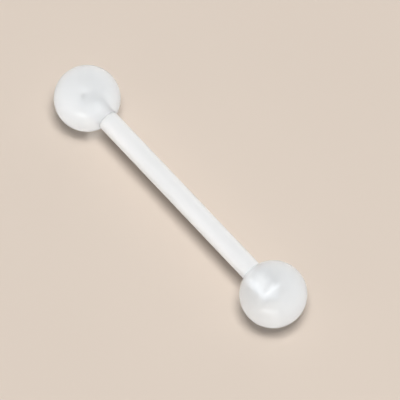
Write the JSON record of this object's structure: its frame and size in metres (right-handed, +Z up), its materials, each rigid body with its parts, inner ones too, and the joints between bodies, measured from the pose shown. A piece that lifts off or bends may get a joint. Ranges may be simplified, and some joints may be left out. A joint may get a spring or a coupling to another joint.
{
  "type": "piercing retainer",
  "caption": "Translucent straight barbell that keeps a body piercing open: a smooth plastic rod with a clear screw-on ball at each end.",
  "frame": {"origin": "on the surface under the middle of the rod, midway between the balls", "axes": "+X along the rod towards the right ball, +Z up from the surface that the balls lie on"},
  "size_m": [0.026, 0.005, 0.005],
  "materials": {
    "rod_plastic": "milky white translucent fluoropolymer, satin, with faint lines along its length",
    "ball_acrylic": "polished translucent acrylic, slightly cloudy"
  },
  "bodies": {
    "rod": {"rod": "rod_plastic"},
    "left_ball": {"left_ball": "ball_acrylic"},
    "right_ball": {"right_ball": "ball_acrylic"}
  },
  "joints": [
    {"name": "left_ball_off", "type": "slide", "parent": "rod", "child": "left_ball", "axis": [-1, 0, 0], "range_m": [0, 0.018]},
    {"name": "right_ball_off", "type": "slide", "parent": "rod", "child": "right_ball", "axis": [1, 0, 0], "range_m": [0, 0.018]}
  ]
}
